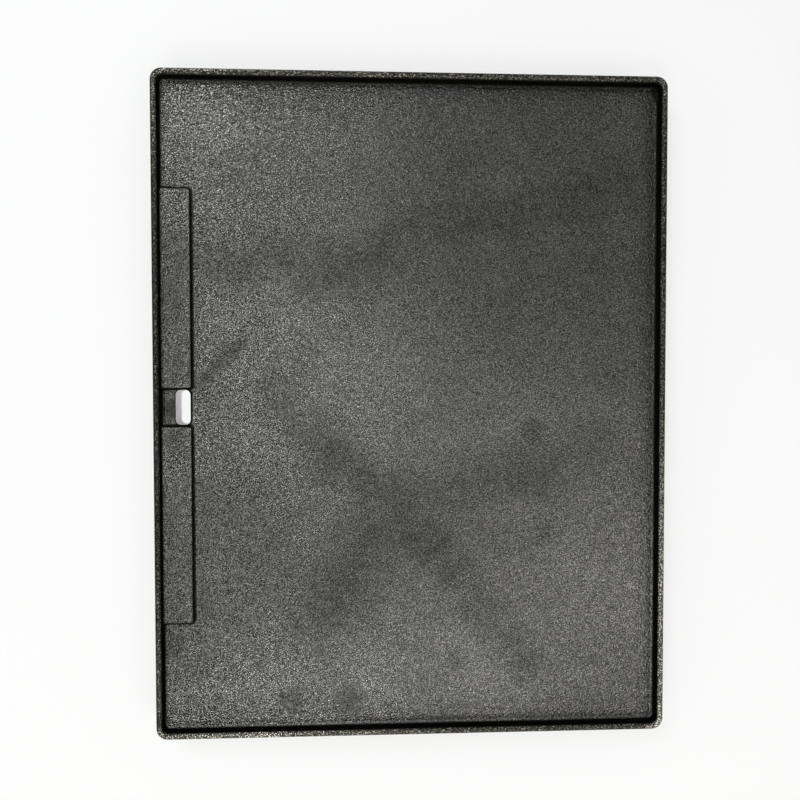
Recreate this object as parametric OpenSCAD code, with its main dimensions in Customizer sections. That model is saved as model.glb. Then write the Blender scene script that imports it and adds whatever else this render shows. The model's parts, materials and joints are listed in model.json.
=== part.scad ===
// Camp griddle plate: a cast-iron plate with a raised rim, two raised pads beside a drain slot,
// a bright steel drain spout screwed on below, and four levelling screws with lock nuts to stand on.
// The frame stands on the ground at Z 0, centred on the plate, with the drain on the -X side.

/* [Plate] */
// Length of the plate along Y, over the rim
plate_l = 465; // [400:1:560]
// Width of the plate along X, over the rim
plate_w = 360; // [280:1:440]
// Thickness of the cast plate
plate_t = 5; // [4:0.1:8]
// Corner radius of the cooking face, inside the foot of the rim
basin_corner_r = 1.5; // [0.5:0.1:8]
// Rounding of the lower outer edge
base_edge_r = 2.5; // [1:0.1:3.5]

/* [Rim] */
// Height of the rim above the cooking face
rim_h = 8.5; // [6:0.1:14]
// Thickness of the rim
rim_w = 3.6; // [3.2:0.1:6]
// Draft of the rim, which leans outwards on both faces, in degrees
rim_draft = 4.5; // [1:0.1:8]
// Rounding of the rim's outer edge
rim_outer_r = 1; // [0.5:0.1:1.2]
// Rounding of the rim's inner edge
rim_inner_r = 1.9; // [0.5:0.1:2]
// Fillet at the foot of the rim
rim_foot_r = 2.2; // [1:0.1:4]

/* [Pads] */
// Length of each raised pad at its foot
pad_l = 140.4; // [100:0.1:160]
// Distance from the plate's drain edge to the free side of the pads
pad_reach = 25; // [24.5:0.1:34]
// Height of the pads above the cooking face
pad_h = 2.4; // [1.2:0.1:4]
// Slope of the pads' sides from the vertical, in degrees
pad_draft = 22; // [5:1:30]
// Plan radius of the pads' free corners
pad_corner_r = 2.6; // [2.6:0.1:5]
// Plan fillet where the ends of the pads meet the rim
pad_root_r = 2.6; // [1.2:0.1:5]
// Rounding of the pads' upper edge
pad_edge_r = 0.8; // [0.3:0.1:1]
// Fillet at the foot of the pads' sides, and where the pads meet the rim
pad_foot_r = 0.8; // [0.3:0.1:1]

/* [Drain] */
// Width of the drain slot along X
slot_w = 10.8; // [8:0.1:12]
// Length of the drain slot along Y
slot_l = 24.6; // [18:0.1:40]
// Corner radius of the drain slot
slot_r = 3.6; // [2:0.1:3.9]
// Distance from the plate's drain edge to the middle of the slot
slot_inset = 17.5; // [15:0.1:18]
// Depth of the sump round the slot, below the cooking face
sump_depth = 0.8; // [0.3:0.1:1.2]
// Floor of the sump that shows past the slot, at its ends and on the side away from the rim
sump_margin = 0.7; // [0.6:0.1:1.2]
// Rounding of the slot's upper lip
slot_lip_r = 0.5; // [0.2:0.1:0.6]
// Cast iron left between the sump and the top of the spout
slot_ledge_t = 1.4; // [1:0.1:2]

/* [Spout] */
// Sheet thickness of the spout
spout_wall = 1; // [0.6:0.1:1.2]
// Gap between the spout's lower end and the ground
spout_clear = 1.2; // [0.5:0.1:5]
// Thickness of the spout's flange
flange_t = 1.2; // [0.8:0.1:2]
// Width of flange at each side of the spout
flange_lip = 4; // [2:0.1:4.5]
// Corner radius of the flange
flange_r = 5; // [3:0.1:6]
// Fillet between the spout's outside and its flange
flange_root_r = 1; // [0.4:0.1:2]
// Thread diameter of the spout screws
spout_screw_d = 4; // [3:0.5:5]
// Head diameter of the spout screws
spout_head_d = 7.6; // [6:0.1:9]
// Head height of the spout screws
spout_head_h = 2.2; // [1.6:0.1:3]
// Straight height at the rim of a spout screw's head, under its crown
spout_brim_h = 0.4; // [0.2:0.1:1]
// Depth of the hexagon socket in a spout screw's head
spout_socket_depth = 1.1; // [0.6:0.1:1.4]
// Hexagon socket of the spout screws, across flats
spout_socket_af = 2.5; // [2:0.5:3]
// Flange between the spout's wall and a screw head
spout_head_gap = 3.6; // [1.5:0.1:5]

/* [Levelling screws] */
// Thread diameter of the levelling screws
screw_d = 6; // [5:0.5:8]
// Hexagon of the screws and lock nuts, across flats
hex_af = 10; // [9.5:0.5:13]
// Height of the screw head that stands on the ground
head_h = 4; // [3:0.1:6]
// Height of the raised washer face under a head
washer_face_h = 0.3; // [0.1:0.1:0.5]
// Height of the lock nuts
nut_h = 3.2; // [2.5:0.1:5]
// Distance from the plate's edges to the screws' axes, along X
foot_inset_x = 40; // [38:1:60]
// Distance from the plate's edges to the screws' axes, along Y
foot_inset_y = 37; // [20:1:70]
// Running clearance round a thread, on the radius
thread_fit = 0.08; // [0.02:0.01:0.1]

/* [Underside] */
// Diameter of the bosses that the levelling screws turn in
boss_d = 18; // [15:0.5:24]
// Height of the bosses below the plate
boss_h = 3; // [2.5:0.1:8]
// Height of the ribs below the plate
rib_h = 2.4; // [1:0.1:2.5]
// Width of the ribs at their crest
rib_w = 4; // [3:0.1:6]
// Rounding of the edges of the ribs and bosses
rib_edge_r = 0.6; // [0.2:0.1:0.9]
// Fillet at the foot of the ribs and bosses
rib_foot_r = 1.6; // [0.4:0.1:3]
// Draft of the ribs and bosses, in degrees
rib_draft = 12; // [5:1:20]
// Distance between the two inner cross ribs
rib_pitch = 130; // [80:1:200]
// Metal left above a tapped hole
tap_skin = 1.5; // [1:0.1:2]
// Bevel at the mouth of a tapped hole
tap_bevel = 0.5; // [0.2:0.1:1]

/* [Hidden] */
$fn = 96;

// The four corners of the underside that carry a levelling screw: name, and side along X and Y
CORNERS = [
    ["front_left", -1, -1],
    ["front_right", 1, -1],
    ["rear_left", -1, 1],
    ["rear_right", 1, 1]
];

IRON = "#232324";
BRIGHT_STEEL = "#b9b9bd";
PLATED_STEEL = "#8f9092";

// Straight chords in a rounded corner of a section
arc_steps = 5;
// How far one shape is sunk into another that it is cast in one with
sink = 1;
// How far a cut runs past the face that it starts from
over = 1;
// How far a rounding or fillet that is carried round runs into what it meets
round_over = 0.3;
// Clearance round the spout in the plate, and round a screw in the flange
spout_fit = 0.1;
flange_hole_fit = 0.25;
// Gap over the end of the spout, and over the end of a screw in its hole
end_gap = 0.4;
// Slope of a hexagon's bevel in degrees, and how far inside the flats it starts
hex_bevel = 30;
hex_bevel_inset = 0.25;
// Bevel at the end of a thread
thread_bevel = 0.8;

// Levels, from the ground up
boss_z = head_h + nut_h;
under_z = boss_z + boss_h;
face_z = under_z + plate_t;
sump_z = face_z - sump_depth;
pad_z = face_z + pad_h;
rim_z = face_z + rim_h;

// Outline: the corner radius leaves room for the whole foot of the rim
rim_lean = rim_h * tan(rim_draft);
outer_lean = (rim_z - under_z) * tan(rim_draft);
// The rim's outer edge, before it is rounded, stands this far outside the outline
rim_edge_over = rim_outer_r * (tan(rim_draft) + 1 / cos(rim_draft) - 1);
corner_r = basin_corner_r + rim_foot_r + rim_lean + rim_w;
edge_x = -plate_w / 2;

// Pads: the foot of the rim, and each pad's free side, ends and corner axes
wall_x = edge_x + rim_w + rim_lean;
pad_wall_x = wall_x - pad_h * tan(rim_draft);
pad_lean = pad_h * tan(pad_draft);
pad_gap = slot_l + 2 * sump_margin;
pad_near_y = pad_gap / 2;
pad_far_y = pad_near_y + pad_l;
pad_mid_y = pad_near_y + pad_l / 2;
pad_axis_x = edge_x + pad_reach - pad_corner_r;
pad_axis_y = pad_far_y - pad_corner_r;
pad_flat_l = pad_l - 2 * pad_corner_r;
root_axis_x = wall_x + pad_root_r;
root_axis_y = pad_far_y + pad_root_r;

// Drain slot, sump and spout
slot_x = edge_x + slot_inset;
sump_low_x = wall_x + sump_margin;
sump_high_x = slot_x + slot_w / 2 + sump_margin;
sump_r = slot_r + sump_margin;
ledge_z = sump_z - slot_ledge_t;
spout_w = slot_w + 2 * spout_wall;
spout_l = slot_l + 2 * spout_wall;
spout_r = slot_r + spout_wall;
flange_z = under_z - flange_t;
spout_screw_y = spout_l / 2 + spout_head_gap + spout_head_d / 2;
flange_w = spout_w + 2 * flange_lip;
flange_l = 2 * spout_screw_y + spout_head_d + flange_lip;
spout_tap_z = pad_z - tap_skin;

// Levelling screws and the ribs that run between their bosses
foot_x = plate_w / 2 - foot_inset_x;
foot_y = plate_l / 2 - foot_inset_y;
foot_tap_z = face_z - tap_skin;
hex_d = hex_af / cos(30);
hex_face_r = hex_af / 2 - hex_bevel_inset;
hex_bevel_h = (hex_d / 2 - hex_face_r) * tan(hex_bevel);

// The chords that round one corner between two straight edges with a tangent arc
function unit(v) = v / norm(v);
function corner_arc(before, corner, after, r) =
    let (u = unit(before - corner))
    let (v = unit(after - corner))
    let (half = acos(u * v) / 2)
    let (centre = corner + unit(u + v) * r / sin(half))
    let (from = corner + u * r / tan(half) - centre)
    let (to = corner + v * r / tan(half) - centre)
    let (start = atan2(from[1], from[0]))
    let (turn = (atan2(to[1], to[0]) - start + 540) % 360 - 180)
    [for (i = [0:arc_steps]) let (a = start + turn * i / arc_steps) centre + r * [cos(a), sin(a)]];

// An outline whose corners are rounded, each by its own radius, or left sharp by a radius of 0
function rounded(points, radii) =
    let (n = len(points))
    [for (i = [0:n - 1]) each
        radii[i] == 0
            ? [points[i]]
            : corner_arc(points[(i + n - 1) % n], points[i], points[(i + 1) % n], radii[i])];

// Section of the plate's edge, measured out from the corner's axis
rim_section = rounded(
    [
        [0, under_z],
        [corner_r + rim_edge_over - outer_lean, under_z],
        [corner_r + rim_edge_over, rim_z],
        [corner_r - rim_w, rim_z],
        [corner_r - rim_w - rim_lean, face_z],
        [0, face_z]
    ],
    [0, base_edge_r, rim_outer_r, rim_inner_r, rim_foot_r, 0]
);

// Section of a pad's side, measured out from the axis of its free corner
pad_foot = [pad_corner_r, face_z];
pad_brow = [pad_corner_r - pad_lean, pad_z];
pad_foot_arc = corner_arc(pad_foot + [over, 0], pad_foot, pad_brow, pad_foot_r);
pad_brow_arc = corner_arc(pad_foot, pad_brow, pad_brow - [over, 0], pad_edge_r);
function pad_section(inner) = concat(
    [[inner, face_z - sink], [pad_foot_arc[0][0], face_z - sink]],
    pad_foot_arc,
    pad_brow_arc,
    [[inner, pad_z]]
);

// One side of a rib or boss below the plate: from its crest up to its foot, and on into the plate
function cast_side(half, h) =
    let (brow = [half, -h])
    let (foot = [half + h * tan(rib_draft), 0])
    let (root = corner_arc(brow, foot, foot + [over, 0], min(rib_foot_r, h - rib_edge_r)))
    concat(
        corner_arc(brow - [half, 0], brow, foot, rib_edge_r),
        root,
        [[root[arc_steps][0], sink]]
    );

// Carries a section round a rectangle with round corners; the section's X runs out from the corner's axis
module carry_round(w, l, r) {
    for (q = [0:3]) {
        across = q % 2 == 0 ? w : l;
        along = q % 2 == 0 ? l : w;
        rotate(90 * q)
            translate([across / 2 - r, along / 2 - r, 0]) {
                rotate_extrude(angle = 90)
                    children();
                rotate([90, 0, 0])
                    linear_extrude(along - 2 * r)
                        children();
            }
    }
}

// A flat block with round corners, from one level to another
module round_block(w, l, r, low, high) {
    carry_round(w, l, r)
        translate([0, low])
            square([r, high - low]);
    translate([r - w / 2, r - l / 2, low])
        cube([w - 2 * r, l - 2 * r, high - low]);
}

// The plate with its rim: the edge section carried round, and the flat plate inside it
module plate_and_rim() {
    carry_round(plate_w, plate_l, corner_r)
        polygon(rim_section);
    translate([corner_r - plate_w / 2, corner_r - plate_l / 2, under_z])
        cube([plate_w - 2 * corner_r, plate_l - 2 * corner_r, plate_t]);
}

// One end of a pad: its free corner, its end face, and the fillet that runs it into the rim
module pad_end() {
    translate([pad_axis_x, pad_axis_y, 0])
        rotate_extrude(angle = 90)
            polygon(pad_section(0));
    translate([root_axis_x, pad_axis_y, 0])
        rotate([90, 0, 90])
            linear_extrude(pad_axis_x - root_axis_x)
                polygon(pad_section(0));
    intersection() {
        translate([root_axis_x, root_axis_y, 0])
            rotate(180)
                rotate_extrude(angle = 90)
                    polygon([for (p = pad_section(-pad_root_r)) [pad_root_r + pad_corner_r - p[0], p[1]]]);
        translate([wall_x - sink, pad_axis_y, face_z - 2 * sink])
            cube([pad_root_r + sink, pad_corner_r + pad_root_r, pad_h + 3 * sink]);
    }
}

// One raised pad along the rim, with a fillet up to the rim
module pad() {
    translate([pad_axis_x, pad_axis_y, 0])
        rotate([90, 0, 0])
            linear_extrude(pad_flat_l)
                polygon(pad_section(0));
    translate([wall_x - sink, pad_axis_y - pad_flat_l, face_z - sink])
        cube([pad_axis_x - wall_x + sink, pad_flat_l, pad_h + sink]);
    wall_foot = [pad_wall_x, pad_z];
    wall_arc = corner_arc(wall_foot + [over, 0], wall_foot, [edge_x + rim_w, rim_z], pad_foot_r);
    translate([0, pad_axis_y, 0])
        rotate([90, 0, 0])
            linear_extrude(pad_flat_l)
                polygon(concat(
                    wall_arc,
                    [wall_arc[arc_steps] - [sink, 0], [wall_arc[arc_steps][0] - sink, pad_z - sink]],
                    [wall_arc[0] - [0, sink]]
                ));
    for (end = [0, 1])
        translate([0, pad_mid_y, 0])
            mirror([0, end, 0])
                translate([0, -pad_mid_y, 0])
                    pad_end();
}

// A low rib under the plate, along Y, with its crest down
module rib(length) {
    side = cast_side(rib_w / 2, rib_h);
    translate([0, length / 2, under_z])
        rotate([90, 0, 0])
            linear_extrude(length)
                polygon(concat(side, [for (i = [len(side) - 1:-1:0]) [-side[i][0], side[i][1]]]));
}

// Ribs between the four bosses, along the middle, and across
module ribs() {
    for (x = [-foot_x, 0, foot_x])
        translate([x, 0, 0])
            rib(2 * foot_y);
    for (y = [-foot_y, -rib_pitch / 2, rib_pitch / 2, foot_y])
        translate([0, y, 0])
            rotate(90)
                rib(2 * foot_x);
}

// A boss under the plate that a levelling screw turns in
module boss() {
    translate([0, 0, under_z])
        rotate_extrude()
            polygon(concat([[0, -boss_h]], cast_side(boss_d / 2, boss_h), [[0, sink]]));
}

// A tapped hole up from one level to another, with a bevelled mouth
module tapped_hole(d, low, high) {
    hole_d = d + 2 * thread_fit;
    translate([0, 0, low - over]) {
        cylinder(h = high - low + over, d = hole_d);
        cylinder(h = tap_bevel + over, d1 = hole_d + 2 * (tap_bevel + over), d2 = hole_d);
    }
}

module at_foot(corner) {
    translate([corner[1] * foot_x, corner[2] * foot_y, 0])
        children();
}

module at_spout_screws() {
    for (side = [-1, 1])
        translate([slot_x, side * spout_screw_y, 0])
            children();
}

// The sump, the slot through its floor with a rounded lip, and the recess that takes the spout
module drain_cut() {
    translate([(sump_low_x + sump_high_x) / 2, 0, 0])
        round_block(sump_high_x - sump_low_x, pad_gap, sump_r, sump_z, pad_z + over);
    translate([slot_x, 0, 0]) {
        round_block(slot_w, slot_l, slot_r, under_z - over, pad_z + over);
        round_block(
            spout_w + 2 * spout_fit,
            spout_l + 2 * spout_fit,
            spout_r + spout_fit,
            under_z - over,
            ledge_z
        );
        lip = [slot_r, sump_z];
        lip_arc = corner_arc(lip - [0, over], lip, lip + [over, 0], slot_lip_r);
        carry_round(slot_w, slot_l, slot_r)
            polygon(concat(
                lip_arc,
                [lip + [slot_lip_r, round_over], lip + [-round_over, round_over], lip - [round_over, slot_lip_r]]
            ));
    }
}

module griddle_plate() {
    color(IRON)
        difference() {
            union() {
                plate_and_rim();
                for (side = [0, 1])
                    mirror([0, side, 0])
                        pad();
                ribs();
                for (corner = CORNERS)
                    at_foot(corner)
                        boss();
            }
            drain_cut();
            for (corner = CORNERS)
                at_foot(corner)
                    tapped_hole(screw_d, boss_z, foot_tap_z);
            at_spout_screws()
                tapped_hole(spout_screw_d, under_z, spout_tap_z);
        }
}

// A sleeve down through the slot, with a flange that lies against the plate
module drain_spout() {
    root = [spout_r, flange_z];
    root_arc = corner_arc(root - [0, over], root, root + [over, 0], flange_root_r);
    color(BRIGHT_STEEL)
        difference() {
            translate([slot_x, 0, 0]) {
                round_block(spout_w, spout_l, spout_r, spout_clear, ledge_z - end_gap);
                round_block(flange_w, flange_l, flange_r, flange_z, under_z);
                carry_round(spout_w, spout_l, spout_r)
                    polygon(concat(
                        root_arc,
                        [root_arc[arc_steps] + [0, round_over], root + [-round_over, round_over]],
                        [root_arc[0] - [round_over, 0]]
                    ));
            }
            translate([slot_x, 0, 0])
                round_block(slot_w, slot_l, slot_r, spout_clear - over, face_z);
            at_spout_screws()
                translate([0, 0, flange_z - over])
                    cylinder(h = flange_t + 2 * over, d = spout_screw_d + 2 * flange_hole_fit);
        }
}

// A threaded shank with a bevelled end, from one level up to another
module shank(d, low, high) {
    rotate_extrude()
        polygon([
            [0, low],
            [d / 2, low],
            [d / 2, high - thread_bevel],
            [d / 2 - thread_bevel, high],
            [0, high]
        ]);
}

// Two button-head screws up through the flange into the thick iron under the pads
module spout_screws() {
    crown = [spout_head_d / 2, flange_z - spout_head_h];
    crown_arc = corner_arc([0, crown[1]], crown, [crown[0], flange_z], spout_head_h - spout_brim_h);
    color(PLATED_STEEL)
        at_spout_screws()
            difference() {
                union() {
                    rotate_extrude()
                        polygon(concat([[0, crown[1]]], crown_arc, [[crown[0], flange_z], [0, flange_z]]));
                    shank(spout_screw_d, flange_z - sink, spout_tap_z - end_gap);
                }
                translate([0, 0, crown[1] - over])
                    cylinder(h = spout_socket_depth + over, d = spout_socket_af / cos(30), $fn = 6);
            }
}

// A hexagon block with its corners bevelled at the lower end, and at the upper end if asked
module hex_block(low, high, bevel_top) {
    top_r = bevel_top ? hex_face_r : hex_d / 2;
    top_h = bevel_top ? hex_bevel_h : 0;
    intersection() {
        translate([0, 0, low])
            cylinder(h = high - low, d = hex_d, $fn = 6);
        rotate_extrude()
            polygon([
                [0, low],
                [hex_face_r, low],
                [hex_d / 2, low + hex_bevel_h],
                [hex_d / 2, high - top_h],
                [top_r, high],
                [0, high]
            ]);
    }
}

// A hexagon screw, head down: the head stands on the ground and the thread turns in its boss
module levelling_screw() {
    color(PLATED_STEEL) {
        hex_block(0, head_h - washer_face_h, false);
        translate([0, 0, head_h - washer_face_h - sink])
            cylinder(h = washer_face_h + sink, r = hex_face_r);
        shank(screw_d, head_h - sink, foot_tap_z - end_gap);
    }
}

// A thin nut on the screw, run up against the boss
module lock_nut() {
    color(PLATED_STEEL)
        difference() {
            hex_block(head_h, boss_z, true);
            translate([0, 0, head_h - over])
                cylinder(h = nut_h + 2 * over, d = screw_d + 2 * thread_fit);
        }
}

griddle_plate();
drain_spout();
spout_screws();
for (corner = CORNERS) {
    at_foot(corner) levelling_screw();
    at_foot(corner) lock_nut();
}
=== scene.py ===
import json
import math

import bpy
import numpy as np
from mathutils import Matrix, Vector

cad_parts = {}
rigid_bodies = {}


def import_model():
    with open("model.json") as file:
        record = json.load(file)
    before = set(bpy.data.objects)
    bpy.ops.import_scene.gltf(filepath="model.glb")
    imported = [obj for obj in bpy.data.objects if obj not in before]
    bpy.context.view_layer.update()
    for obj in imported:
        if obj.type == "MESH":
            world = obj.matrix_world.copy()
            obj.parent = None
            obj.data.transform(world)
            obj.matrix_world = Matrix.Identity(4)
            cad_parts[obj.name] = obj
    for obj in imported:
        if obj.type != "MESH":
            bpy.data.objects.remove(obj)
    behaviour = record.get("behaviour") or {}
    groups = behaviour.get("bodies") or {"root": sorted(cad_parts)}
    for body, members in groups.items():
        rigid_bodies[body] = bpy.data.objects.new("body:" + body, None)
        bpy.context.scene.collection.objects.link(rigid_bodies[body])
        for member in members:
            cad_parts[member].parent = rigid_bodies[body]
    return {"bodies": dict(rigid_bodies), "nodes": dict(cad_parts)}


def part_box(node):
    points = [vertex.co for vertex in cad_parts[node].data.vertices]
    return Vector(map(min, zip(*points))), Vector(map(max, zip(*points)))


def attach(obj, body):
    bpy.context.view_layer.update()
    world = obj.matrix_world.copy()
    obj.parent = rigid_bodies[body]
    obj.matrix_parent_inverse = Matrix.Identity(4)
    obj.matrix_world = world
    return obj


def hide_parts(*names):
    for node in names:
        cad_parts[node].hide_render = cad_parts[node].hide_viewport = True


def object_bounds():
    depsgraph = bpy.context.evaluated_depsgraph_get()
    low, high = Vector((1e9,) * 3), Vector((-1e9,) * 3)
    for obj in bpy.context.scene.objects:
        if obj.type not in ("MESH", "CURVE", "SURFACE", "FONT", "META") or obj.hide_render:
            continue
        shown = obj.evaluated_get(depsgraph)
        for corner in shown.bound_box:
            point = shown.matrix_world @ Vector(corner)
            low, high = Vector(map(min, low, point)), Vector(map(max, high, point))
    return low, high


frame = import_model()
cad_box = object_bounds()


# Griddle plate
# One sand casting of grey iron: flat cooking face, thin drafted rim, two low pads beside the drain, and
# ribs and bosses below. Its skin is pebbly from the sand and black from baked-on oil.
class Socket:
    """One output of a shader node that takes part in sums: each operator adds a Math node."""

    def __init__(self, tree, link):
        self.tree = tree
        self.link = link

    def node(self, kind, settings, sockets, output=0):
        """Adds a node: its settings first, then a value or a link for each named or numbered socket."""
        made = self.tree.nodes.new(kind)
        for name, value in settings.items():
            setattr(made, name, value)
        for name, value in sockets.items():
            entry = made.inputs[name]
            if isinstance(value, Socket):
                self.tree.links.new(value.link, entry)
            else:
                entry.default_value = (*value, 1) if entry.type == "RGBA" else value
        return Socket(self.tree, made.outputs[output])

    def math(self, operation, *others):
        return self.node("ShaderNodeMath", {"operation": operation}, dict(enumerate([self, *others])))

    def vector(self, operation, *others, output=0):
        sockets = dict(enumerate([self, *others]))
        return self.node("ShaderNodeVectorMath", {"operation": operation}, sockets, output)

    def __add__(self, other):
        return self.math("ADD", other)

    __radd__ = __add__

    def __sub__(self, other):
        return self.math("SUBTRACT", other)

    def __rsub__(self, other):
        return self * -1 + other

    def __mul__(self, other):
        return self.math("MULTIPLY", other)

    __rmul__ = __mul__

    def __abs__(self):
        return self.math("ABSOLUTE")

    def ramp(self, low, high):
        """Goes smoothly from 0 at the low value to 1 at the high one; a low value above the high one falls."""
        settings = {"interpolation_type": "SMOOTHSTEP"}
        if low > high:
            return 1 - self.ramp(high, low)
        return self.node("ShaderNodeMapRange", settings, {"Value": self, "From Min": low, "From Max": high})

    def noise(self, grain, detail=2.0, roughness=0.5, output=0):
        """Soft noise about 0.5 whose lumps are about one grain wide."""
        sockets = {"Vector": self, "Scale": 1 / grain, "Detail": detail, "Roughness": roughness}
        return self.node("ShaderNodeTexNoise", {}, sockets, output)

    def part(self, axis):
        return self.node("ShaderNodeSeparateXYZ", {}, {0: self}, "XYZ".index(axis))

    def tint(self, low, high):
        """A colour between two, by this value from 0 to 1."""
        return self.node("ShaderNodeMix", {"data_type": "RGBA"}, {0: self, 6: low, 7: high}, 2)


def new_finish(name, constants):
    """A material with these constant sockets, its shader, and the place on the piece in millimetres."""
    material = bpy.data.materials.new(name)
    material.use_nodes = True
    tree = material.node_tree
    shader = tree.nodes["Principled BSDF"]
    for socket, value in constants.items():
        shader.inputs[socket].default_value = value
    coordinates = tree.nodes.new("ShaderNodeTexCoord")
    spot = Socket(tree, coordinates.outputs["Object"]).vector("MULTIPLY", (1000, 1000, 1000))
    return material, shader, spot


def finish(shader, **sockets):
    """Links worked-out values to the shader's sockets, written with an underscore for each space."""
    for name, value in sockets.items():
        value.tree.links.new(value.link, shader.inputs[name.replace("_", " ")])


def outside(flat, middle, core):
    """Distance of a place from a rectangle with this middle and these half sizes, and 0 inside it."""
    gap = flat.vector("SUBTRACT", (*middle, 0)).vector("ABSOLUTE").vector("SUBTRACT", (*core, 0))
    return gap.vector("MAXIMUM", (0, 0, 0)).vector("LENGTH", output=1)


def strayed(flat, reach, grain, detail, roughness):
    """Places moved by noise, this far at most each way, so that shapes drawn on them have ragged edges."""
    stray = flat.noise(grain, detail, roughness, output=1)
    stray = stray.vector("MULTIPLY_ADD", (2 * reach, 2 * reach, 0), (-reach, -reach, 0))
    return flat.vector("ADD", stray)


def wiped_band(flat, points, width):
    """Share of a wiped band: 1 on the line through these points, falling smoothly to 0 at its half width.
    A place's distance from a stretch is that from the nearest point on it, found by a clamped dot product."""
    gap = None
    for start, end in zip(points, points[1:]):
        step = Vector((*end, 0)) - Vector((*start, 0))
        offset = flat.vector("SUBTRACT", (*start, 0))
        share = offset.vector("DOT_PRODUCT", step / step.length_squared, output=1)
        share = share.math("MAXIMUM", 0).math("MINIMUM", 1)
        near = share.vector("MULTIPLY_ADD", -step, offset).vector("LENGTH", output=1)
        gap = gap.math("MINIMUM", near) if gap else near
    return gap.ramp(width, 0)


def round_spots(flat, spots):
    """Strength of round spots, each given by its middle, radius and strength: fullest in a middle, falling
    smoothly to 0 at its radius."""
    cover = None
    for x, y, radius, strength in spots:
        share = flat.vector("DISTANCE", (x, y, 0), output=1).ramp(radius, radius * 0.3) * strength
        cover = cover.math("MAXIMUM", share) if cover else share
    return cover


MM = 0.001
iron, iron_shader, spot = new_finish("seasoned_iron", {"Specular IOR Level": 0.0})
upward = spot.node("ShaderNodeTexCoord", {}, {}, "Normal").part("Z")
level = spot.part("Z")
flat = spot.vector("MULTIPLY", (1, 1, 0))
across = flat.part("X")
along = flat.part("Y")

# The cast skin: pebbles, lumps and pits from the sand, flecks on the rim, and wide patches of older oil.
pebble = spot.noise(0.6, 1.0)
lump = spot.noise(1.2, 1.0)
pits = spot.noise(0.4, 0.0)
fleck = spot.noise(0.8, 1.0)
patch = spot.noise(48, 3.0, 0.6)
# The glints are painted glints: bright specks in the base colour, mixed from pebbles and pits, that stand in for
# light caught by the pebbles' crests.
glint = (pebble * 0.7 + pits * 0.3).ramp(0.36, 0.66)

# Grease and painted shade: wide dull zones, bands left by wiping, and drips. Some of the wide zones, such as the
# one at the upper right, are painted shade where the face takes less light. Each zone and drip has a middle, a
# radius and a strength, and each band a strength, a half width and its line.
ragged = strayed(flat, 18, 30, 3.0, 0.6)
frayed = strayed(flat, 6, 9, 2.0, 0.5)
dull_and_shaded_zones = [
    (85, 140, 165, 0.28), (-152, -106, 114, 0.29), (8, -96, 30, 0.47), (20, -90, 85, 0.17), (148, 32, 40, 0.2),
    (-146, 8, 40, 0.18),
]
wiped_bands = [
    (0.44, 52, [(146, 157), (93, 143), (21, 130)]),
    (0.35, 38, [(21, 128), (-36, 107), (-71, 97), (-140, 104)]),
    (0.26, 28, [(-96, 12), (-59, -35)]),
    (0.36, 32, [(-59, -35), (-5, -74), (34, -117)]),
    (0.3, 25, [(34, -117), (56, -153), (84, -188)]),
    (0.22, 36, [(132, -30), (91, -45)]),
    (0.34, 36, [(91, -45), (34, -60), (0, -72)]),
    (0.37, 48, [(0, -72), (-41, -110), (-66, -148)]),
    (0.3, 30, [(-166, 112), (-166, 28)]),
    (0.42, 9, [(-153, 15), (-138, 30), (-123, 44)]),
    (0.18, 10, [(118, 50), (136, 33), (158, 12)]),
]
drips = [
    (86, -18, 15, 0.36), (95, -92, 11, 0.26), (-168, 0, 12, 0.6), (45, -138, 8, 0.3), (81, -185, 11, 0.36),
    (30, -183, 12, 0.3), (-44, -210, 14, 0.36), (-87, -210, 13, 0.36), (-130, -67, 10, 0.3),
    (-141, 108, 13, 0.3), (152, 56, 11, 0.25), (120, 73, 10, 0.25), (-167, -146, 14, 0.3), (-172, 60, 10, 0.25),
    (-168, -60, 12, 0.2), (-156, -172, 36, 0.22), (-171, -170, 18, 0.42), (-166, -22, 14, 0.36),
]
narrow = 15
grease_and_shade = round_spots(ragged, dull_and_shaded_zones)
for strength, width, points in wiped_bands:
    band = wiped_band(ragged if width > narrow else flat, points, width) * strength
    grease_and_shade = grease_and_shade.math("MAXIMUM", band)
cloudy = flat.noise(14, 3.0, 0.6).ramp(0.25, 0.7)
smears_and_shade = (grease_and_shade * (cloudy * 0.4 + 0.75)).math("MAXIMUM", round_spots(frayed, drips)) * upward.ramp(0.2, 0.6)

# Shine of the cooking face, with painted sheen and painted glints in the base colour: brighter and with stronger
# glints towards the drain side, in some painted pools of sheen, along the right rim and at the foot of the front
# rim on the left.
leftward = across.ramp(40, -60)
glint_boost_left = across.ramp(-40, -140)
sheen_pools = [
    (-170, 232, 80, 0.48), (-60, 225, 80, 0.15), (-75, -205, 70, 0.25), (-40, 12, 60, 0.18), (-80, 80, 45, 0.2),
    (60, -188, 60, 0.2), (-30, -202, 42, 0.32), (140, -130, 55, 0.16), (160, 138, 34, 0.14), (-105, 205, 40, 0.2),
    (-135, -208, 26, 0.14),
]
pooled_sheen = round_spots(ragged, sheen_pools)
right_edge_sheen = across.ramp(140, 170) * (along.ramp(-10, -100) * 0.14 + 0.12)
front_left_sheen = along.ramp(-218, -225) * leftward
shine = (glint * glint * (glint_boost_left * 0.15 + 0.3) + 0.036 - glint_boost_left * 0.022) * (patch * 0.4 + 0.8) * (1 - smears_and_shade)
shine = shine * (pooled_sheen + right_edge_sheen + 1) * (front_left_sheen * 0.4 + 1)

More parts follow.
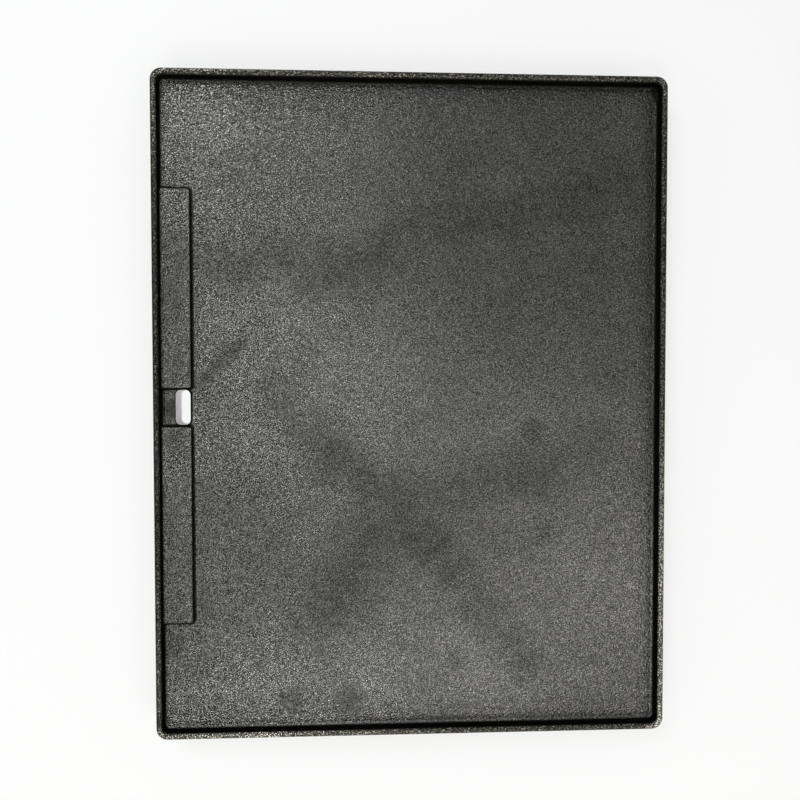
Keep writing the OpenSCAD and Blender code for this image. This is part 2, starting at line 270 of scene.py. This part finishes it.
# Painted shade in the corners, where walls keep the light off: dark bands at the rim's foot, lines round the pads
# and at the slot's inner side.
plate_half = Vector((180, 232.5))
plate_turn_r = 8
inset = plate_turn_r - outside(flat, (0, 0), plate_half - Vector((plate_turn_r, plate_turn_r)))
rim_top = level.ramp(20, 22)
pad_corner_r = 2.6
pad = flat.vector("ADD", (180, 0, 0)).vector("ABSOLUTE").vector("SUBTRACT", (0, 83.2, 0)).vector("ABSOLUTE")
pad = pad.vector("SUBTRACT", (22.4, 67.6, 0))
pad_gap = pad.vector("MAXIMUM", (0, 0, 0)).vector("LENGTH", output=1) - pad_corner_r
pad_gap = pad_gap + pad.part("X").math("MAXIMUM", pad.part("Y")).math("MINIMUM", 0)
pad_shade_line = abs(pad_gap - 0.2).ramp(0.4, 1.4) * 0.88 + 0.12
slot_middle = (-162.5, 0)
slot_core = (1.8, 8.7)
slot_r = 3.6
slot_gap = outside(flat, slot_middle, slot_core) - slot_r
slot_shade_line = 1 - slot_gap.ramp(2.4, 1.5) * across.ramp(-162, -159) * 0.95
foot_gap = inset + along.ramp(216, 222) * (2.1 - inset * 0.55) + along.ramp(-222, -226) * 0.5
foot_gap = foot_gap + across.ramp(170, 174) * (along.ramp(0, -120) * 0.4 - 0.6) + across.ramp(-170, -174) * 0.6
crease_shade = rim_top.math("MAXIMUM", (foot_gap.ramp(3.9, 5.9) * 0.92 + 0.08) * pad_shade_line * slot_shade_line)
# Painted light and shade by how a surface faces: the rim's brow lit, a little more along the rear, the inner
# walls black, and the outer walls and the underside at a middle level. The base colour and the metallic share
# follow it.
painted_brow_light = (upward + along.ramp(222, 228) * 0.15).ramp(0.05, 0.5) * (inset.ramp(0.2, 1.3) * 0.55 + 0.45)
painted_open_light = (rim_top * painted_brow_light + (1 - rim_top) * upward.ramp(0.25, 0.8)) * crease_shade
under = upward.ramp(0.05, -0.25).math("MAXIMUM", inset.ramp(1.4, 0.6) * 0.7)
painted_facing_light = painted_open_light.math("MAXIMUM", under * 0.6).math("MAXIMUM", 0.02)

# The rim's top: painted glints, bright flecks in the base colour that stand in for light caught by its pebbles.
# Painted light and shade vary them: fewer at the middle of its left side and at the rear right, darker on the
# left side's outer rounding, and more along the front left, the front right and at the right corners.
left_rim = across.ramp(-168, -176)
right_rim = across.ramp(168, 176)
front_rim = along.ramp(-222, -229)
right_corners = across.ramp(162, 174) * abs(along).ramp(216, 227)
rear_slope = upward.ramp(0.88, 0.6) * along.ramp(222, 229)
rear_left = along.ramp(224, 229) * across.ramp(-60, -120)
rim_glints = (fleck.ramp(0.53, 0.67) * 0.3 + glint * glint * 0.08) * (pooled_sheen * 1.5 + 1) + 0.012
rim_glints = rim_glints * (1 + right_rim * (along.ramp(40, -120) * 1.3 - 0.35))
rim_glints = rim_glints * (1 - left_rim * abs(along - 10).ramp(190, 100) * 0.4)
rim_glints = rim_glints * (1 + front_rim * (leftward * 0.5 + across.ramp(-60, -120) * 1.1 - 0.12))
rim_glints = rim_glints * (right_corners * 1.1 + 1) * (1 - left_rim * inset.ramp(2.2, 0.5) * 0.75)
rim_glints = rim_glints * (rear_slope * 0.3 + 0.95 - along.ramp(222, 229) * 0.15)
rim_glints = rim_glints * (1 + rear_left * (inset.ramp(3.0, 1.2) * 0.9 - 0.25))

# The outer walls and the underside have the same skin with fewer painted glints, browner and not wiped. The tone
# is that skin times the painted light and shade.
calm = upward.ramp(0.45, 0.1)
shine = shine + rim_top * (rim_glints - shine)
tone = (shine + calm * (glint * 0.1 + 0.06 - shine)) * painted_facing_light + 0.001
brown = rim_top.math("MAXIMUM", under * 0.8)
hue = (brown * 0.7 + patch * 0.3).tint((0.99, 1.0, 0.96), (1.0, 0.95, 0.82))
skin = hue.node("ShaderNodeVectorMath", {"operation": "SCALE"}, {0: hue, "Scale": tone})

# The bosses' lower faces, turned bright for the lock nuts.
boss_r = flat.vector("ABSOLUTE").vector("DISTANCE", (140, 195.5, 0), output=1)
machined = boss_r.ramp(8.8, 8.4) * level.ramp(7.6, 7.4)
turned = boss_r.node("ShaderNodeCombineXYZ", {}, {0: boss_r}).noise(0.25, 1.0)
skin = machined.tint(skin, turned.tint((0.2, 0.19, 0.18), (0.42, 0.4, 0.38)))

oily = across.ramp(60, -120)
relief = (pebble * 0.5 + lump) * (oily * 0.4 + 0.7) * (1 - machined * 0.9)
bump_sockets = {"Strength": 1.0, "Distance": 0.9 * MM, "Height": relief, "Filter Width": 0.4}
finish(
    iron_shader,
    Base_Color=skin,
    Metallic=painted_facing_light.ramp(0.0, 0.35).math("MAXIMUM", machined),
    Roughness=0.26 - oily * 0.06 + patch * 0.06 + smears_and_shade * 0.2 + machined * 0.15,
    Normal=relief.node("ShaderNodeBump", {}, bump_sockets),
)
frame["nodes"]["griddle_plate"].data.materials[0] = iron


# Drain spout
# A short sleeve drawn from bright sheet steel. It sits in the slot from below, and its flange lies against
# the underside of the plate, held by two screws.
bright, bright_shader, spot = new_finish("bright_steel", {"Metallic": 1.0})
streak = spot.vector("MULTIPLY", (1, 1, 0.12)).noise(0.5, 3.0)
cloud = spot.noise(6, 2.0).ramp(0.3, 0.7)
# The sleeve is darker towards its front end.
lighter_toward_rear = spot.part("Y").ramp(-13, -7)
finish(
    bright_shader,
    Base_Color=((streak * 0.5 + cloud * 0.5) * lighter_toward_rear).tint((0.45, 0.42, 0.44), (0.7, 0.67, 0.7)),
    Roughness=0.26 + streak * 0.2,
)
frame["nodes"]["drain_spout"].data.materials[0] = bright


# Spout screws
# Two zinc-plated button-head M4 screws with hexagon sockets, headed and thread-rolled from steel wire. They
# go up through the spout's flange into tapped holes in the iron.
def hexagon(angle, across_flats):
    """Distance from a hexagon's middle to its edge: half the flats' width over the cosine of the angle from the
    nearest flat's middle."""
    return across_flats / 2 / np.cos(angle % (math.pi / 3) - math.pi / 6)


def thread_ridge(angle, height, pitch):
    """Share of the thread's depth, from 0 in its root to 1 on its crest: a wave with flat tops and bottoms that
    climbs one pitch in each turn."""
    turn = (height / pitch - angle / (2 * math.pi)) % 1
    return np.clip(1.35 * np.abs(2 * turn - 1) - 0.2, 0, 1)


AROUND = 72
angle = np.arange(AROUND) * 2 * math.pi / AROUND


def ring_skin(name, radius, height, centres, capped):
    """Rings joined into a skin. A point lies at its ring's radius and height, at its angle round each centre.
    The first and last rings are capped, or joined to each other to close the skin."""
    rings = len(radius)
    points = np.stack([radius * np.cos(angle), radius * np.sin(angle), height], -1)
    points = points[None] + np.array([(x, y, 0) for x, y in centres])[:, None, None]
    index = np.arange(rings * AROUND).reshape(rings, AROUND)
    above = np.roll(index, -1, 0)
    stop = rings - 1 if capped else rings
    quads = np.stack([index, np.roll(index, -1, 1), np.roll(above, -1, 1), above], -1)[:stop].reshape(-1, 4)
    copy = np.arange(len(centres))[:, None, None] * index.size
    faces = (quads + copy).reshape(-1, 4).tolist()
    if capped:
        caps = np.stack([index[0, ::-1], index[-1]])
        faces += (caps + copy).reshape(-1, AROUND).tolist()
    mesh = bpy.data.meshes.new(name)
    mesh.from_pydata(points.reshape(-1, 3).tolist(), [], faces)
    mesh.shade_smooth()
    mesh.set_sharp_from_angle(angle=math.radians(32))
    piece = bpy.data.objects.new(name, mesh)
    bpy.context.scene.collection.objects.link(piece)
    return piece


def rows(*stretches):
    """Stacks stretches of rings, each a pair of radius and height that spread over the angles."""
    full = [np.broadcast_arrays(radius, height, angle[None, :])[:2] for radius, height in stretches]
    return np.concatenate([r for r, _ in full]), np.concatenate([h for _, h in full])


def column(*values):
    return np.array(values)[:, None]


plated, plated_shader, spot = new_finish("plated_steel", {"Metallic": 1.0})
fog = spot.noise(3, 3.0)
scratch = spot.vector("MULTIPLY", (1, 1, 6)).noise(0.8, 2.0)
finish(
    plated_shader,
    Base_Color=fog.ramp(0.3, 0.7).tint((0.36, 0.35, 0.34), (0.56, 0.56, 0.58)),
    Roughness=0.28 + fog * 0.15 + scratch * 0.1,
)

pair_low, pair_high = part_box("spout_screws")
head_r = (pair_high.x - pair_low.x) / 2
head_h = 2.2 * MM
brim_h = 0.4 * MM
socket_af = 2.5 * MM
socket_depth = 1.1 * MM
shank_r = 2 * MM
shank_pitch = 0.7 * MM
shank_depth = 0.43 * MM
point_h = 0.8 * MM
seat_z = pair_low.z + head_h
crown_r = head_h - brim_h
sweep = np.linspace(0, math.pi / 2, 9)[:, None]
climb = np.arange(seat_z + 0.2 * MM, pair_high.z - point_h, shank_pitch / 8)[:, None]
ridge = thread_ridge(angle, climb, shank_pitch)
screw_radius, screw_height = rows(
    (hexagon(angle, socket_af) + column(0, 0), column(pair_low.z + socket_depth, pair_low.z)),
    (head_r - crown_r + crown_r * np.sin(sweep), pair_low.z + crown_r * (1 - np.cos(sweep))),
    (column(head_r, shank_r * 1.02), column(seat_z, seat_z)),
    (shank_r - shank_depth * (1 - ridge), climb),
    (column(shank_r - point_h / 2, shank_r - point_h), column(pair_high.z - point_h / 2, pair_high.z)),
)
pair_x = (pair_low.x + pair_high.x) / 2
pair_y = pair_high.y - head_r
pair_centres = [(pair_x, -pair_y), (pair_x, pair_y)]
pair = ring_skin("spout_screw_pair", screw_radius, screw_height, pair_centres, True)
pair.data.materials.append(plated)
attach(pair, "plate")
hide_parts("spout_screws")


# Levelling screws
# Four zinc-plated M6 hexagon screws of cold-headed steel, heads down. The plate stands on the heads, and
# the threads turn in its tapped bosses.
corners = [name.removeprefix("foot_") for name in frame["bodies"] if name.startswith("foot_")]
hex_af = 10 * MM
bevel_tan = math.tan(math.radians(30))
hex_face_r = hex_af / 2 - 0.25 * MM
hex_bevel_h = (hex_af / 2 / math.cos(math.pi / 6) - hex_face_r) * bevel_tan
foot_r = 3 * MM
foot_pitch = 1 * MM
foot_depth = 0.6 * MM
foot_head_h = 4 * MM
washer_z = foot_head_h - 0.3 * MM
bevel = np.linspace(0, hex_bevel_h, 6)[:, None]
for corner in corners:
    low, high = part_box("levelling_screw_" + corner)
    middle = (low + high) / 2
    climb = np.arange(foot_head_h + 0.25 * MM, high.z - point_h, foot_pitch / 10)[:, None]
    ridge = thread_ridge(angle, climb, foot_pitch)
    radius, height = rows(
        (np.minimum(hexagon(angle, hex_af), hex_face_r + bevel / bevel_tan), bevel),
        (hexagon(angle, hex_af) + column(0), column(washer_z)),
        (column(hex_face_r, hex_face_r, foot_r), column(washer_z, foot_head_h, foot_head_h)),
        (foot_r - foot_depth * (1 - ridge), climb),
        (column(foot_r - point_h / 2, foot_r - point_h), column(high.z - point_h / 2, high.z)),
    )
    screw = ring_skin("threaded_foot_" + corner, radius, height, [(middle.x, middle.y)], True)
    screw.data.materials.append(plated)
    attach(screw, "foot_" + corner)
    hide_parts("levelling_screw_" + corner)


# Lock nuts
# Four thin zinc-plated M6 nuts of pressed steel, bevelled on both faces. Each is run up its screw and
# tightened against the boss, so that the screw keeps its place.
nut_mouth_r = 3.3 * MM
nut_mouth_h = 0.3 * MM
thread_gap = 0.06 * MM
for corner in corners:
    low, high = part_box("lock_nut_" + corner)
    middle = (low + high) / 2
    wall = np.concatenate([low.z + bevel, high.z - bevel[::-1]])
    reach = hex_face_r + np.minimum(wall - low.z, high.z - wall) / bevel_tan
    bore_z = np.arange(high.z - nut_mouth_h, low.z + nut_mouth_h, -foot_pitch / 10)[:, None]
    ridge = thread_ridge(angle, bore_z, foot_pitch)
    radius, height = rows(
        (np.minimum(hexagon(angle, hex_af), reach), wall),
        (column(nut_mouth_r), column(high.z)),
        (foot_r + thread_gap - foot_depth * (1 - ridge), bore_z),
        (column(nut_mouth_r), column(low.z)),
    )
    nut = ring_skin("threaded_nut_" + corner, radius, height, [(middle.x, middle.y)], False)
    nut.data.materials.append(plated)
    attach(nut, "plate")
    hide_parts("lock_nut_" + corner)


# Studio
# A pale floor that keeps the plate's shadow, and a pale room that darkens overhead. Four soft boxes light
# the plate, and the camera looks down on it from where the photograph was taken.
def flat_sheet(name, width, z):
    """A square of this width at this height."""
    mesh = bpy.data.meshes.new(name)
    side = width / 2
    mesh.from_pydata([(-side, -side, z), (side, -side, z), (side, side, z), (-side, side, z)], [], [(0, 1, 2, 3)])
    sheet = bpy.data.objects.new(name, mesh)
    bpy.context.scene.collection.objects.link(sheet)
    return sheet


floor = flat_sheet("floor", 30, cad_box[0].z)
pale, pale_shader, spot = new_finish("pale_floor", {"Base Color": (0.86, 0.87, 0.86, 1), "Roughness": 0.9})
ground = spot.vector("MULTIPLY", (1, 1, 0))
# Painted shadow and light on the floor: its glow is cut under the plate, where the plate's shadow falls, and
# raised under the slot, a painted pool of light seen through it.
painted_shadow_under_plate = outside(ground, (0, 0), (150, 200)).ramp(36, 6)
painted_slot_light = outside(ground, slot_middle, slot_core).ramp(4.6, 2.6)
far = ground.vector("LENGTH", output=1).ramp(350, 1500)
white = (0.62 - painted_shadow_under_plate * 0.52).math("MAXIMUM", painted_slot_light * 0.9) + far * 0.33
mirrored_white = 0.65
seen = spot.node("ShaderNodeLightPath", {}, {}, "Is Camera Ray") * white
for ray in ("Is Glossy Ray", "Is Transmission Ray"):
    seen = seen + spot.node("ShaderNodeLightPath", {}, {}, ray) * mirrored_white
lit = Socket(spot.tree, pale_shader.outputs[0])
glow = seen.node("ShaderNodeEmission", {}, {"Color": (0.985, 0.99, 0.98), "Strength": 1.0})
mixed = seen.node("ShaderNodeMixShader", {}, {0: seen, 1: lit, 2: glow})
below = spot.node("ShaderNodeNewGeometry", {}, {}, "Backfacing")
clear = below.node("ShaderNodeBsdfTransparent", {}, {})
mixed = below.node("ShaderNodeMixShader", {}, {0: below, 1: mixed, 2: clear})
spot.tree.links.new(mixed.link, spot.tree.nodes["Material Output"].inputs["Surface"])
floor.data.materials.append(pale)

world = bpy.data.worlds.new("room")
bpy.context.scene.world = world
world.use_nodes = True
room_tree = world.node_tree
outlook = Socket(room_tree, room_tree.nodes.new("ShaderNodeTexCoord").outputs["Generated"])
backdrop = outlook.part("Z").ramp(0.35, 0.8).tint((0.93, 0.94, 0.925), (0.24, 0.24, 0.24))
room_tree.links.new(backdrop.link, room_tree.nodes["Background"].inputs["Color"])


def soft_box(name, place, aim, width, length, radiance, colour):
    """A lamp that faces its aim: its power is pi times its radiance times its area."""
    lamp = bpy.data.lights.new(name, "AREA")
    lamp.shape = "RECTANGLE"
    lamp.size = width
    lamp.size_y = length
    lamp.energy = math.pi * radiance * width * length
    lamp.color = colour
    holder = bpy.data.objects.new(name, lamp)
    holder.location = place
    holder.rotation_euler = (Vector(aim) - Vector(place)).to_track_quat("-Z", "Y").to_euler()
    bpy.context.scene.collection.objects.link(holder)


soft_box("upper_left_box", (-0.62, 0.8, 1.15), (0, 0, 0), 0.55, 0.55, 7.5, (0.9, 0.955, 1))
soft_box("lower_left_box", (-0.35, -1.0, 1.1), (0, 0, 0), 0.7, 0.5, 6.0, (0.99, 1, 0.96))
soft_box("overhead_box", (-0.45, -0.3, 1.6), (-0.1, -0.05, 0), 0.9, 1.0, 1.0, (1, 0.985, 0.965))
soft_box("lower_right_box", (0.75, -0.62, 1.3), (0, 0, 0), 0.9, 0.9, 1.9, (1, 0.94, 0.95))

camera_place = Vector((-24.9, 14.7, 443.3)) * MM
camera_aim = Vector((-9.24, 5.13, 23.7)) * MM
camera_roll = math.radians(0.07)
camera = bpy.data.cameras.new("camera")
camera.sensor_width = 36
camera.lens = 27
holder = bpy.data.objects.new("camera", camera)
forward = (camera_aim - camera_place).normalized()
right = forward.cross(Vector((math.sin(camera_roll), math.cos(camera_roll), 0))).normalized()
upright = right.cross(forward)
holder.matrix_world = Matrix.Translation(camera_place) @ Matrix((right, upright, -forward)).transposed().to_4x4()
bpy.context.scene.collection.objects.link(holder)
bpy.context.scene.camera = holder
bpy.context.scene.view_settings.view_transform = "Standard"
